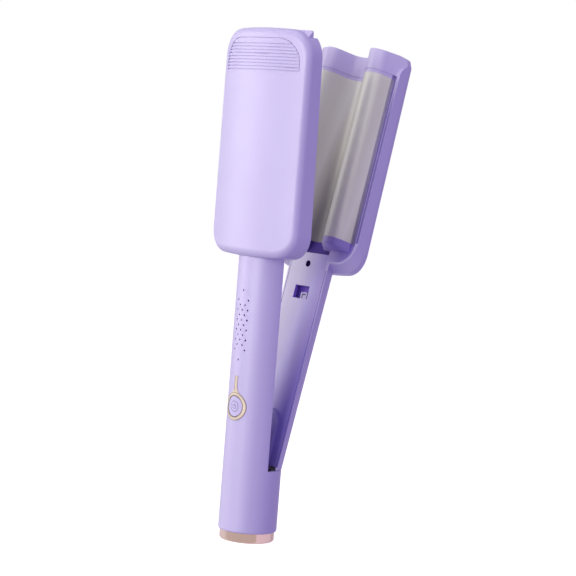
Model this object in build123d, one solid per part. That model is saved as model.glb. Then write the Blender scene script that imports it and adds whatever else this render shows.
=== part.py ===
from build123d import *
from math import acos, atan2, cos, degrees, hypot, radians, sin, sqrt, tan
import os

# Hair waver with two arms.  Millimetres, +Z along the handle toward the head, -Y is the front,
# and the origin lies on the handle axis at the lower end face.  The rear arm is drawn closed,
# parallel to the front arm, and is then swung open about the hinge pin.

# ---- handle tube and arms ----
handle_radius = 18.0
handle_wall = 1.8
tube_top = 44.7
tube_round = 1.1
front_split = 2.9
rear_split = 5.0
part_gap = 0.4

# ---- base ring and cord swivel ----
ring_height = 6.15
ring_inset = 1.14
ring_round = 1.6
ring_floor = 3.0
spigot_length = 5.0
spigot_wall = 1.5
swivel_radius = 6.0
swivel_length = 17.0
swivel_flange = 1.6
swivel_fit = 0.05
swivel_bevel = 0.8
cord_bore_radius = 3.5
retainer_thickness = 1.5

# ---- heads ----
head_low = 174.0
head_half_width = 38.0
head_depth = 22.0
head_crown_radius = 98.0
head_edge_round = 5.0
head_wall = 2.4
head_top_corner = 17.0
head_low_corner = 15.0
head_end_bow = 1.4
front_floor = 3.4
front_rim_top = 4.2
front_rim_foot = 1.1
rear_rim = 5.0
rear_rim_rise = 1.2
rear_swell = 3.2
rear_taper = 1.1
rear_arm_taper = 0.85
rear_pillow_start = 12.0
rear_tray_corner = 5.0
rear_tray_bow = 3.0
rear_back_bow = 0.3
rim_end_round = 8.0
rest_half_width = 10.0

# ---- wave of the heating plates ----
wave_peak = -5.3
valley_drop = 4.0
ridge_spare = 0.25
ridge_lip = 1.2
hair_gap = 0.8
plate_foot = 17.0
plate_length = 104.5
plate_thickness = 1.6
front_plate_edge = 7.0
rear_plate_edge = 4.8
plate_web_drop = 6.8
end_tilt = 9.6

# ---- plate frames, tips and heels ----
frame_band = 2.0
frame_depth = 5.0
ledge = 2.0
tip_length = 13.6
tip_edge = 5.5
tip_back = 12.0
tip_corner = 1.6
tip_top_drop = 0.6
heel_length = 3.7
heel_round = 3.2
heel_gap = 1.0
recess_half_width = 15.5
recess_height = 4.6
floor_thickness = 1.6

# ---- heating parts behind the plates ----
heater_thickness = 3.0
heater_width = 12.0
heater_end_gap = 6.75
heater_gap = 0.3
clip_sheet = 0.8
clip_width = 8.0
shield_thickness = 0.6
fuse_radius = 1.6
fuse_length = 11.0
bead_radius = 1.2
bead_length = 5.0

# ---- grip ribs on the front head ----
rib_pitch = 1.94
rib_count = 9
rib_groove = 0.8
rib_depth = 0.9
rib_drop = 25.8
rib_edge = 5.5
rib_headroom = 3.3
rib_outline = 0.4
rib_top_corner = 15.0

# ---- vents in the front arm ----
vent_middle = 132.45
vent_pitch = 6.045
vent_step = 7.151
vent_radius = 0.62

# ---- power button ----
button_height = 82.8
button_radius = 6.1
button_gap = 0.3
button_proud = 0.3
button_travel = 0.6
button_skirt = 1.0
button_flange = 1.1
button_stem_radius = 2.0
icon_radius = 3.35
icon_line = 0.35
icon_depth = 0.2
bezel_radius = 8.6
bezel_proud = 0.45
bezel_sink = 0.8
bezel_stem_width = 2.2
bezel_stem_top = 101.3

# ---- electronics in the handle ----
board_face = 8.6
board_thickness = 1.6
board_half_width = 11.0
board_low = 58.0
board_length = 62.0
post_radius = 1.6
post_inset = 3.0
switch_size = 6.0
switch_height = 2.8
switch_nub = 0.5
switch_nub_radius = 1.6
triac_size = 9.0

# ---- arm covers ----
cover_thickness = 1.6
front_cover_low = 54.0
rear_cover_low = 47.0
rear_cover_bulge = 0.8
window_drop = 22.2
window_height = 8.2
window_half_width = 6.4
screw_drop = 0.3
screw_hole_radius = 2.1
screw_head_radius = 1.9
screw_head_height = 1.6
screw_shank_radius = 1.1
screw_length = 7.6
screw_seat = 2.6
screw_floor = 1.0
screw_boss_radius = 3.4
front_screw_low = 128.0

# ---- guide hook and its keeper ----
hook_half_width = 4.6
hook_reach = 6.2
hook_round = 0.8
keeper_width = 5.6
keeper_height = 3.6
keeper_clear = 0.5

# ---- hinge ----
pin_y = 4.5
pin_z = 39.5
open_angle = 13.0
kink_height = 45.5
pin_radius = 2.0
pin_length = 26.0
pin_fit = 0.05
ear_radius = 4.6
ear_thickness = 2.6
ear_inside = 10.0
bracket_low = 32.0
bracket_sheet = 1.6
knuckle_radius = 4.6
knuckle_thickness = 2.8
knuckle_outside = 9.4
boss_raise = 2.4
boss_half_width = 9.4
boss_top = 82.0
spring_wire = 0.5
spring_coil_radius = 3.7
spring_turns = 5
spring_half_width = 4.2
spring_leg = 11.0
spring_foot_lean = 16.0

# ---- sizes that follow from those above ----
plate_low = head_low + plate_foot
plate_high = plate_low + plate_length
front_plate_half = head_half_width - front_plate_edge
rear_plate_half = head_half_width - rear_plate_edge
# A ridge's radius is half the pitch less ridge_spare, and the two together reach the lip.
wave_pitch = (rear_plate_half - ridge_lip + ridge_spare) / 1.5
wave_radius = wave_pitch / 2 - ridge_spare
wave_depth = wave_radius + valley_drop
heater_length = plate_length - 2 * heater_end_gap
frame_low = plate_low - frame_band
frame_high = plate_high + frame_band
heel_low = frame_low - heel_length
tip_low = frame_high + part_gap
tip_half_width = head_half_width - tip_edge
head_high = tip_low + tip_length
rib_low = head_high - rib_drop
rib_half_width = head_half_width - rib_edge
rear_cover_top = heel_low - recess_height
screw_height = head_low - screw_drop
window_low = screw_height - window_drop
handle_bore = handle_radius - handle_wall
# Closed, the rear arm lies this far in front of the handle axis, so that its axis crosses
# the handle axis at kink_height when it is open.
swing = radians(open_angle)
arm_shift = (kink_height - pin_z) * sin(swing) - pin_y * (1 - cos(swing))
wave_dip = wave_peak + wave_depth
far = 400.0


def box(x0, x1, y0, y1, z0, z1):
    middle = Pos((x0 + x1) / 2, (y0 + y1) / 2, (z0 + z1) / 2)
    return middle * Box(abs(x1 - x0), abs(y1 - y0), abs(z1 - z0))


def column(radius, z0, z1, x=0.0, y=0.0):
    return Pos(x, y, (z0 + z1) / 2) * Cylinder(radius, z1 - z0)


def rod_y(radius, y0, y1, x, z):
    return Pos(x, (y0 + y1) / 2, z) * Rot(X=90) * Cylinder(radius, abs(y1 - y0))


def rod_x(radius, x0, x1, y, z):
    return Pos((x0 + x1) / 2, y, z) * Rot(Y=90) * Cylinder(radius, abs(x1 - x0))


def opened(shape):
    """From the rear arm's own frame to its rest place, swung back about the hinge pin."""
    closed = Pos(0, -arm_shift, 0) * shape
    return closed.rotate(Axis((0, pin_y, pin_z), (1, 0, 0)), -open_angle)


def slab(low, high, tilt, at_y):
    """Everything between two planes, `low` and `high` up at y = at_y, tilted about X."""
    height = (high - low) * cos(radians(tilt))
    return Pos(0, at_y, (low + high) / 2) * Rot(X=tilt) * Box(far, far, height)


# ---- heads ----
def head_outline(half_width, low, high, low_corner, top_corner, top_bow):
    """Head seen from the front: ends slightly bowed, corners rounded."""
    shoulder = high - top_bow
    heel = low + head_end_bow
    edges = [
        Line((-half_width, heel), (-half_width, shoulder)),
        ThreePointArc((-half_width, shoulder), (0, high), (half_width, shoulder)),
        Line((half_width, shoulder), (half_width, heel)),
        ThreePointArc((half_width, heel), (0, low), (-half_width, heel)),
    ]
    face = make_face(edges)
    top = face.vertices().group_by(Axis.Y)[-1]
    face = fillet(top, top_corner)
    bottom = [v for v in face.vertices() if v.Y < (low + high) / 2]
    return fillet(bottom, low_corner)


def head_block(outline, y0, y1):
    """The outline, drawn in X and Z, as a solid between y0 and y1."""
    return Pos(0, max(y0, y1), 0) * extrude(Rot(X=90) * outline, abs(y1 - y0), dir=(0, -1, 0))


def crown(side, depth, radius):
    """The large cylinder whose flank gives a head its crowned outer face; the rear one leans."""
    flank = column(radius, 0, far, 0, side * (depth - radius))
    if side < 0:
        return flank
    return flank.rotate(Axis((0, depth, head_high), (1, 0, 0)), rear_taper)


def pillow(side, start, outline):
    """Solid head: crowned outer face with a soft edge.  side is -1 at the front, 1 at the back."""
    body = head_block(outline, side * start, side * far / 4)
    body = body & crown(side, head_depth, head_crown_radius)
    outer = body.faces().sort_by(lambda f: -side * f.center().Y)[0]
    return fillet(outer.edges(), head_edge_round)


def pillow_inside(high, top_corner):
    """Outline of the room inside a head."""
    return head_outline(
        head_half_width - head_wall,
        head_low + head_wall,
        high - head_wall,
        head_low_corner - head_wall,
        top_corner - head_wall / 2,
        head_end_bow,
    )


def inside_crown(side):
    return crown(side, head_depth - head_wall, head_crown_radius - head_wall)


def head_cavity(side, start, high, top_corner):
    body = head_block(pillow_inside(high, top_corner), side * start, side * far / 4)
    return body & inside_crown(side)


def half_arm(side, split, radius, low, high):
    """The part of the round handle in front of (or behind) a flat split face."""
    arm = column(radius, low, high)
    if side < 0:
        return arm & box(-far, far, -far, -split, low, high)
    return arm & box(-far, far, split, far, low, high)


# ---- wave profile ----
def wall_angle():
    """Slope of the straight flanks between the ridges and the valleys."""
    rise = 2 * wave_radius - wave_depth
    return atan2(wave_pitch, rise) - acos(2 * wave_radius / hypot(wave_pitch, rise))


def wave_edges(offset, outer_angle, reach):
    """The wave from -reach to reach: a valley in the middle and a ridge on each side.

    offset moves the whole line along its own normal, toward +Y.  Past each ridge the line
    runs straight on at outer_angle.
    """
    lean = wall_angle()
    ridge = wave_radius - offset
    valley = wave_radius + offset

    def in_valley(t):
        return valley * sin(t), wave_dip - wave_radius + valley * cos(t)

    def on_ridge(t):
        return wave_pitch + ridge * sin(t), wave_peak + wave_radius - ridge * cos(t)

    edges = [ThreePointArc(in_valley(-lean), in_valley(0), in_valley(lean))]
    last = on_ridge(outer_angle)
    end_y = last[1] + (reach - last[0]) * tan(outer_angle)
    for s in (-1, 1):
        inner = (s * in_valley(lean)[0], in_valley(lean)[1])
        foot = (s * on_ridge(-lean)[0], on_ridge(-lean)[1])
        top = on_ridge((outer_angle - lean) / 2)
        edges.append(Line(inner, foot))
        edges.append(ThreePointArc(foot, (s * top[0], top[1]), (s * last[0], last[1])))
        edges.append(Line((s * last[0], last[1]), (s * reach, end_y)))
    return edges, end_y


def wave_block(offset, outer_angle, reach, back, low, high):
    """Solid between the wave and the flat plane y = back."""
    edges, end_y = wave_edges(offset, outer_angle, reach)
    edges.append(Line((-reach, end_y), (-reach, back)))
    edges.append(Line((-reach, back), (reach, back)))
    edges.append(Line((reach, back), (reach, end_y)))
    return Pos(0, 0, low) * extrude(make_face(edges), high - low, dir=(0, 0, 1))


def wave_sheet(offset, thickness, outer_angle, reach, low, high):
    """The wave as a sheet of even thickness; a negative thickness goes toward -Y."""
    near, near_y = wave_edges(offset, outer_angle, reach)
    back, back_y = wave_edges(offset + thickness, outer_angle, reach)
    ends = [Line((s * reach, near_y), (s * reach, back_y)) for s in (-1, 1)]
    return Pos(0, 0, low) * extrude(make_face(near + back + ends), high - low, dir=(0, 0, 1))


def front_wave_block(reach, back, low, high):
    """The front arm's wave: it meets the rear one across the hair gap, the arms closed."""
    block = wave_block(-hair_gap, 0.0, reach, back + arm_shift, low, high)
    return Pos(0, -arm_shift, 0) * block


def front_valley_y():
    return wave_peak - hair_gap - arm_shift


# ---- front arm ----
def rib_area(inset):
    """D-shaped area of the ribs, as a block through the front wall."""
    height = rib_pitch * (rib_count - 1) + rib_groove + rib_headroom - 2 * inset
    outline = Rectangle(2 * (rib_half_width - inset), height, align=(Align.CENTER, Align.MIN))
    outline = fillet(outline.vertices().group_by(Axis.Y)[-1], rib_top_corner - inset)
    return head_block(Pos(0, rib_low + inset) * outline, -front_floor, -far / 4)


def rib_grooves():
    """Level grooves and the line round them, cut into the crowned face."""
    bars = [
        box(-far, far, -far / 4, 0, low, low + rib_groove)
        for low in (rib_low + i * rib_pitch for i in range(rib_count))
    ]
    grooves = rib_area(0.0) & (Part() + bars)
    grooves += rib_area(0.0) - rib_area(rib_outline)
    return grooves - crown(-1, head_depth - rib_depth, head_crown_radius - rib_depth)


def vent_holes():
    """Round holes in five upright rows, laid out as a diamond."""
    middle_row = (-3.5, -1.5, -0.5, 0.5, 1.5, 3.5)
    next_row = (-2, -1, 0, 1, 2)
    outer_row = (-2.5, -1.5, -0.5, 0.5, 1.5, 2.5)
    holes = []
    for step, row in ((-2, outer_row), (-1, next_row), (0, middle_row), (1, next_row), (2, outer_row)):
        for place in row:
            drill = rod_y(vent_radius, -far / 4, 0, 0, vent_middle + place * vent_pitch)
            holes.append(drill.rotate(Axis.Z, step * vent_step))
    return holes


def bezel_area(ring_radius, hole_radius, stem_width, stem_top):
    """Ring with an upright stem, as a block that runs through the front wall."""
    ring = rod_y(ring_radius, -far / 4, 0, 0, button_height)
    stem = box(-stem_width / 2, stem_width / 2, -far / 4, 0, button_height, stem_top)
    flare = Polygon(
        (-stem_width * 1.4, ring_radius - 0.6),
        (stem_width * 1.4, ring_radius - 0.6),
        (stem_width / 2, ring_radius + stem_width),
        (-stem_width / 2, ring_radius + stem_width),
        align=None,
    )
    foot = Pos(0, 0, button_height) * extrude(Rot(X=90) * flare, far / 4, dir=(0, -1, 0))
    shape = ring + stem + foot
    if hole_radius:
        shape = shape - rod_y(hole_radius, -far / 4, 0, 0, button_height)
    return shape


def front_outline():
    return head_outline(
        head_half_width, head_low, head_high, head_low_corner, head_top_corner, head_end_bow
    )


def front_rim_cut():
    """Everything past the slanting rim of the front head."""
    slope = atan2(front_rim_top - front_rim_foot, head_high - head_low)
    return Pos(0, -front_rim_foot, head_low) * Rot(X=degrees(slope)) * box(-far, far, 0, far, -far, far)


def front_shell():
    tube = column(handle_radius, ring_height, tube_top)
    arm = half_arm(-1, front_split, handle_radius, tube_top, head_low + head_wall)
    head = pillow(-1, front_rim_foot, front_outline()) - front_rim_cut()
    body = tube + arm + head
    lower_rim = body.edges().filter_by(GeomType.CIRCLE).sort_by(Axis.Z)[0]
    body = fillet(lower_rim, tube_round)
    body -= column(handle_bore, 0, tube_top)
    body -= half_arm(-1, front_split, handle_bore, tube_top, head_low + 2 * head_wall)
    body -= head_cavity(-1, front_rim_foot, head_high, head_top_corner)
    body -= tip_space()
    body -= bezel_area(bezel_radius, 0, bezel_stem_width, bezel_stem_top) - crown_of_handle(-bezel_sink)
    body -= rod_y(button_radius + button_gap, -far / 4, 0, 0, button_height)
    body -= rib_grooves()
    for hole in vent_holes():
        body -= hole
    for z in (front_screw_low, screw_height):
        body += shell_boss(-1, front_split, z)
    return body


def crown_of_handle(proud):
    return column(handle_radius + proud, 0, far)


def shell_boss(side, split, z):
    """Screw boss that stands up from the inside of an arm to the cup in its cover."""
    start = split + screw_seat + screw_floor
    boss = rod_y(screw_boss_radius, side * start, side * (handle_radius - handle_wall / 2), 0, z)
    return boss - rod_y(screw_shank_radius, side * start, side * (split + screw_seat + screw_length), 0, z)


def screw_cup(side, split, z):
    """Solid cup behind a cover, before its hole is drilled."""
    inner = split + cover_thickness / 2
    return rod_y(screw_boss_radius, side * inner, side * (split + screw_seat + screw_floor), 0, z)


def screw_bore(side, split, z):
    """Stepped hole: wide down to the seat of the screw head, narrow past it."""
    wide = rod_y(screw_hole_radius, 0, side * (split + screw_seat), 0, z)
    return wide + rod_y(screw_shank_radius, 0, side * (split + screw_seat + screw_length), 0, z)


def tip_space():
    """The notch in the front head that the tip fills."""
    return box(-tip_half_width, tip_half_width, -tip_back, far, tip_low, far)


def tip_shoulders(high):
    """Lets the tip's upper corners grow out of the rounded corners of the head."""
    x = head_half_width - head_top_corner
    z = head_high - head_end_bow - head_top_corner
    reach = hypot(tip_half_width - x, high - z)
    depth = front_valley_y() + tip_back
    shape = box(-x, x, -far, far, 0, far)
    for s in (-1, 1):
        cone = Rot(X=90) * Cone(reach, head_top_corner, depth)
        shape += Pos(s * x, depth / 2 - tip_back, z) * cone
    return shape


def front_tip():
    high = head_high - tip_top_drop
    body = front_wave_block(tip_half_width, -tip_back, tip_low, high)
    corners = body.edges().filter_by(Axis.Y).group_by(Axis.Z)[-1]
    body = fillet(corners, tip_corner) & tip_shoulders(high)
    wings = head_block(pillow_inside(head_high, head_top_corner), -tip_back, front_valley_y())
    wings = wings & slab(tip_low, far, 0, 0) & inside_crown(-1)
    return body + wings


def front_inner_cover():
    """Flat cover of the front arm that widens into the floor below the plate's heel."""
    floor_top = heel_low - heel_gap
    cover = box(-far, far, -front_split - cover_thickness, -front_split, front_cover_low, floor_top)
    cover = cover & column(handle_bore, 0, far)
    inside = pillow_inside(head_high, head_top_corner)
    floor = head_block(inside, -front_split - cover_thickness, -front_floor)
    cover += floor & box(-far, far, -far, far, 0, floor_top)
    for z in (front_screw_low, screw_height):
        cover += screw_cup(-1, front_split, z)
        cover -= screw_bore(-1, front_split, z)
    for s in (-1, 1):
        x = s * (board_half_width - post_inset)
        for z in (board_low + post_inset, board_low + board_length - post_inset):
            cover += rod_y(post_radius, board_thickness - board_face, -front_split - cover_thickness, x, z)
    return cover


def front_hook():
    """Guide nose on the front arm; it enters the window of the rear arm when the arms close."""
    low = window_low + keeper_height + 2 * keeper_clear
    high = window_low + window_height - keeper_clear
    nose = box(-hook_half_width, hook_half_width, -front_split, hook_reach, low, high)
    tip_edges = nose.edges().filter_by(Axis.X).group_by(Axis.Y)[-1]
    return fillet(tip_edges, hook_round)


# ---- plates and frames, the same parts for both arms ----
def plate(offset, thickness, outer_angle, reach, tilt, ridges, web_y0, web_y1):
    """Extruded wave plate with a flat web behind each ridge for its heater."""
    sheet = wave_sheet(offset, thickness, outer_angle, reach, 0, far)
    behind = far / 4 if thickness > 0 else -far / 4
    inside = wave_block(offset + thickness / 2, outer_angle, reach, behind, 0, far)
    for x in ridges:
        web = box(x - wave_pitch / 2, x + wave_pitch / 2, web_y0, web_y1, 0, far)
        sheet += web & inside
    return sheet & slab(plate_low, plate_high, tilt, wave_peak)


def rear_web():
    top = wave_peak + plate_web_drop
    return top, top + plate_thickness


def front_web():
    top = wave_dip - hair_gap - plate_web_drop - arm_shift
    return top - plate_thickness, top


def front_wave_plate():
    low, high = front_web()
    web = (low + arm_shift, high + arm_shift)
    body = plate(-hair_gap, -plate_thickness, 0.0, front_plate_half, 0.0, [0.0], *web)
    return Pos(0, -arm_shift, 0) * body


def rear_wave_plate():
    low, high = rear_web()
    ridges = [-wave_pitch, wave_pitch]
    return plate(0.0, plate_thickness, wall_angle(), rear_plate_half, -end_tilt, ridges, low, high)


def front_frame_back():
    return front_valley_y() - frame_depth


def rear_flank_y(x):
    """Height of the rear wave's outer flank at x."""
    lean = wall_angle()
    end_x = wave_pitch + wave_radius * sin(lean)
    end_y = wave_peak + wave_radius - wave_radius * cos(lean)
    return end_y + (x - end_x) * tan(lean)


def rear_frame_front():
    return rear_flank_y(rear_plate_half) + plate_thickness / cos(wall_angle())


def rear_frame_back():
    return wave_dip + frame_depth / 2


def front_plate_frame():
    """Carrier with a heel below the plate, a band above it and a ledge under its edges."""
    inside = head_half_width - head_wall
    back = front_frame_back()
    body = front_wave_block(inside, back, heel_low, frame_high)
    foot = body.faces().sort_by(Axis.Z)[0].edges()
    body = fillet([e for e in foot if e.center().Y > back and e.length > heel_length], heel_round)
    seat = front_valley_y() - plate_thickness
    body -= box(-front_plate_half, front_plate_half, seat, far, plate_low, plate_high)
    opening = front_plate_half - ledge
    body -= box(-opening, opening, -far, far, plate_low, plate_high)
    return body & head_block(pillow_inside(head_high, head_top_corner), -far, far) & inside_crown(-1)


def rear_plate_frame():
    """Carrier of the rear plate: a wave-shaped band above it and a rail down each side."""
    inside = head_half_width - head_wall
    band = wave_block(0.0, wall_angle(), rear_plate_half, rear_frame_back(), 0, far)
    body = band & slab(plate_high, far, -end_tilt, wave_peak)
    for s in (-1, 1):
        x0 = s * (rear_plate_half - ledge)
        x1 = s * inside
        body += box(x0, x1, rear_frame_front(), rear_frame_back(), 0, far)
    body = body & head_block(tray_outline(head_wall), -far, far)
    return body & slab(plate_low, frame_high, -end_tilt, wave_peak)


# ---- heating parts ----
def heater(x, y0, y1):
    low = (plate_low + plate_high - heater_length) / 2
    half = heater_width / 2
    return box(x - half, x + half, y0, y1, low, low + heater_length)


def heater_clip(x, y, side):
    """Spring strip over the back of a heater, with a turned lip at each end."""
    middle = (plate_low + plate_high) / 2
    half = heater_length / 2 + 2 * clip_sheet
    x0 = x - clip_width / 2
    x1 = x + clip_width / 2
    strip = box(x0, x1, y, y + side * clip_sheet, middle - half, middle + half)
    for s in (-1, 1):
        z = middle + s * half
        strip += box(x0, x1, y, y - side * heater_thickness, z - clip_sheet / 2, z + clip_sheet / 2)
    return strip


def fuse(x, y, z):
    """Thermal fuse: a small can with bevelled ends, lying along Z."""
    can = column(fuse_radius, z - fuse_length / 2, z + fuse_length / 2, x, y)
    return chamfer(can.edges().filter_by(GeomType.CIRCLE), fuse_radius / 3)


def bead(x, y, z):
    body = column(bead_radius, z - bead_length / 2, z + bead_length / 2, x, y)
    return chamfer(body.edges().filter_by(GeomType.CIRCLE), bead_radius / 2)


# ---- power button and its ring ----
def power_icon(y0, y1):
    """Fine circle, and the usual switch sign of an open ring with a bar."""
    line = icon_line
    circle = Circle(icon_radius) - Circle(icon_radius - line)
    sign_radius = icon_radius * 0.45
    sign = Circle(sign_radius) - Circle(sign_radius - line)
    sign -= Pos(0, sign_radius) * Rectangle(sign_radius, sign_radius)
    bar = Pos(0, sign_radius * 0.7) * Rectangle(line, sign_radius)
    face = circle + sign + bar
    return Pos(0, 0, button_height) * head_block(face, y0, y1)


def power_button():
    face_y = -(handle_radius + button_proud)
    flange_y = -flange_front()
    disc = rod_y(button_radius, face_y, flange_y, 0, button_height) & crown_of_handle(button_proud)
    disc -= power_icon(face_y - 1, 0) - crown_of_handle(button_proud - icon_depth)
    skirt_radius = button_radius + button_gap + button_skirt
    flange = rod_y(skirt_radius, flange_y, flange_y + button_flange, 0, button_height)
    stem_end = -(board_face + switch_height + switch_nub + button_gap + button_travel)
    stem = rod_y(button_stem_radius, flange_y, stem_end, 0, button_height)
    return disc + flange + stem


def flange_front():
    """How far in front of the axis plane the flange may sit and still clear the tube's inside."""
    reach = button_radius + button_gap + button_skirt
    return sqrt(handle_bore ** 2 - reach ** 2) - button_gap


def button_bezel():
    """Ring and stem, curved with the handle and let into its surface."""
    area = bezel_area(bezel_radius, button_radius + button_gap, bezel_stem_width, bezel_stem_top)
    return (area & crown_of_handle(bezel_proud)) - crown_of_handle(-bezel_sink)


# ---- electronics ----
def control_board():
    board = box(
        -board_half_width,
        board_half_width,
        -board_face,
        -board_face + board_thickness,
        board_low,
        board_low + board_length,
    )
    corners = board.edges().filter_by(Axis.Y)
    return fillet(corners, post_radius)


def tact_switch():
    half = switch_size / 2
    top = -board_face - switch_height
    base = box(-half, half, top, -board_face, button_height - half, button_height + half)
    return base + rod_y(switch_nub_radius, top - switch_nub, top, 0, button_height)


def power_triac():
    """Power switch of the heaters, flat on the board with its metal tab."""
    low = board_low + board_length - 3 * triac_size / 2
    half = triac_size / 2
    case = box(-half, half, -board_face - half, -board_face, low, low + triac_size)
    tab = box(-half, half, -board_face - half / 3, -board_face, low + triac_size, low + triac_size * 1.35)
    return case + tab


# ---- base ----
def ring_radius():
    return handle_radius - ring_inset


def base_ring():
    """Metal end ring with a floor; its spigot plugs into the tube."""
    body = column(ring_radius(), 0, ring_height)
    body = fillet(body.edges().filter_by(GeomType.CIRCLE).sort_by(Axis.Z)[0], ring_round)
    body += column(handle_bore, ring_height, ring_height + spigot_length)
    body -= column(handle_bore - spigot_wall, ring_floor, ring_height + spigot_length)
    return body - column(swivel_radius + swivel_fit, 0, ring_floor)


def cord_swivel():
    """Sleeve that turns in the floor of the end ring; the cord is clamped in its bore."""
    low = ring_floor + part_gap
    sleeve = column(swivel_radius, 0, swivel_length)
    sleeve += column(swivel_radius + swivel_flange, low, low + swivel_flange)
    rims = sleeve.edges().filter_by(GeomType.CIRCLE).sort_by(Axis.Z)
    sleeve = chamfer([rims[0], rims[-1]], swivel_bevel)
    return sleeve - column(cord_bore_radius, 0, swivel_length)


def swivel_retainer():
    """Plate pressed into the spigot; it keeps the swivel's flange down on the floor."""
    low = ring_floor + 2 * part_gap + swivel_flange
    plate_body = column(handle_bore - spigot_wall, low, low + retainer_thickness)
    return plate_body - column(swivel_radius + swivel_flange / 2, 0, far)


# ---- hinge ----
def hinge_bracket():
    """Two ears on a plate inside the front arm; they carry the pin."""
    plate_y = -front_split - bracket_sheet
    base = box(-far, far, plate_y, -front_split, bracket_low, front_cover_low - part_gap)
    base = base & column(handle_bore, 0, far)
    body = base
    for s in (-1, 1):
        x0 = s * ear_inside
        x1 = s * (ear_inside + ear_thickness)
        ear = rod_x(ear_radius, x0, x1, pin_y, pin_z)
        ear += box(x0, x1, plate_y, pin_y, pin_z - ear_radius, pin_z + ear_radius)
        body += ear
    return body - rod_x(pin_radius, -far, far, pin_y, pin_z)


def hinge_pin():
    pin = rod_x(pin_radius, -pin_length / 2, pin_length / 2, pin_y, pin_z)
    return chamfer(pin.edges().filter_by(GeomType.CIRCLE), pin_radius / 5)


def rear_hinge_arm():
    """Raised, arch-topped block on the rear arm that ends in two knuckles round the pin."""
    face_y = rear_split - boss_raise
    arch_z = boss_top - boss_half_width
    back_y = rear_split + rear_cover_bulge
    plate_body = box(-boss_half_width, boss_half_width, face_y, back_y, pin_z + knuckle_radius, arch_z)
    plate_body += rod_y(boss_half_width, face_y, back_y, 0, arch_z)
    body = plate_body - rear_cover_blank()
    for s in (-1, 1):
        x0 = s * knuckle_outside
        x1 = s * (knuckle_outside - knuckle_thickness)
        lug = rod_x(knuckle_radius, x0, x1, pin_y + arm_shift, pin_z)
        lug += box(x0, x1, face_y, rear_split, pin_z, pin_z + 2 * knuckle_radius)
        body += lug - rear_cover_blank()
    return body - rod_x(pin_radius + pin_fit, -far, far, pin_y + arm_shift, pin_z)


def hinge_spring():
    """Torsion spring round the pin: one leg pushes on the rear arm, one on the bracket."""
    length = 2 * spring_half_width
    turns = spring_turns + (open_angle - spring_foot_lean) / 360
    coil = Helix(length / turns, length, spring_coil_radius)
    upper = Line(coil @ 0 - (coil % 0) * spring_leg, coil @ 0)
    lower = Line(coil @ 1, coil @ 1 + (coil % 1) * spring_leg)
    path = Wire([upper, coil, lower])
    start = Plane(origin=path @ 0, z_dir=path % 0)
    wire = sweep(start * RegularPolygon(spring_wire, 6), path, is_frenet=True, transition=Transition.RIGHT)
    seat = Plane(origin=(-spring_half_width, pin_y, pin_z), x_dir=(0, -1, 0), z_dir=(1, 0, 0))
    placed = seat.location * wire
    return placed.rotate(Axis((0, pin_y, pin_z), (1, 0, 0)), -open_angle)


# ---- rear arm, drawn closed ----
def rear_cover_blank():
    """Inner cover of the rear arm before its cut-outs: a long strip, slightly domed."""
    half = sqrt(handle_bore ** 2 - rear_split ** 2)
    dome = rear_split - rear_cover_bulge
    face = make_face(
        [
            ThreePointArc((-half, rear_split), (0, dome), (half, rear_split)),
            Line((half, rear_split), (half, rear_split + cover_thickness)),
            Line((half, rear_split + cover_thickness), (-half, rear_split + cover_thickness)),
            Line((-half, rear_split + cover_thickness), (-half, rear_split)),
        ]
    )
    strip = extrude(face, rear_cover_top - rear_cover_low, dir=(0, 0, 1))
    return (Pos(0, 0, rear_cover_low) * strip) & column(handle_bore, 0, far)


def tray_outline(inset, swell=0.0):
    """Outline of the rear head's tray, whose upper corners are tight."""
    return head_outline(
        head_half_width - inset,
        head_low + inset - swell,
        head_high - inset,
        head_low_corner - inset,
        rear_tray_corner - inset / 2,
        rear_tray_bow,
    )


def rear_top(y):
    """Height of the rear head's sloping upper end at y."""
    return head_high - tip_top_drop - (y - wave_peak) * tan(radians(end_tilt))


def rear_heels():
    """Rounded lower ends of the two ridges, standing on the tray floor."""
    floor_back = rear_split + floor_thickness
    body = wave_block(0.0, wall_angle(), rear_plate_half, rear_frame_back(), 0, far)
    body = body & slab(heel_low, plate_low - part_gap, -end_tilt, wave_peak)
    foot = body.faces().sort_by(Axis.Z)[0].edges()
    ridges = [e for e in foot if e.geom_type == GeomType.ELLIPSE and e.center().Y < 0]
    body = fillet(ridges, heel_round)
    body = body & box(-far, far, -far, floor_back, 0, far)
    return body & head_block(tray_outline(head_wall), -far, far)


def rear_inner_cover():
    """Arm cover, the tray floor round it, and the rounded heels below the ridges."""
    tray = head_block(tray_outline(head_wall), rear_split, rear_split + floor_thickness)
    floor = tray & box(-far, far, -far, far, 0, rear_cover_top)
    sides = tray & slab(0, plate_low - part_gap, -end_tilt, wave_peak)
    sides -= box(-recess_half_width, recess_half_width, -far, far, rear_cover_top, far)
    body = rear_cover_blank() + floor + sides + rear_heels()
    body -= box(-window_half_width, window_half_width, -far, far, window_low, window_low + window_height)
    body += screw_cup(1, rear_split, screw_height)
    return body - screw_bore(1, rear_split, screw_height)


def rear_flanks(low):
    """The wave with its outer flanks run out to the sides of the tray, from low up."""
    block = wave_block(0.0, wall_angle(), head_half_width, rear_pillow_start, 0, far)
    return block & slab(low, far, -end_tilt, wave_peak)


def rear_tip_front():
    """What the wave-shaped upper end and the rounded upper ends of the rims leave free."""
    front = box(-far, far, -far, rear_pillow_start, 0, far) & slab(tip_low, far, -end_tilt, wave_peak)
    front -= rear_flanks(0)
    rim_end = tip_low - (rear_rim - wave_peak) * tan(radians(end_tilt))
    for s in (-1, 1):
        sides = (s * rear_plate_half, s * head_half_width)
        front -= rod_x(rim_end_round, *sides, rear_rim + rim_end_round, rim_end)
    return front


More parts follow.
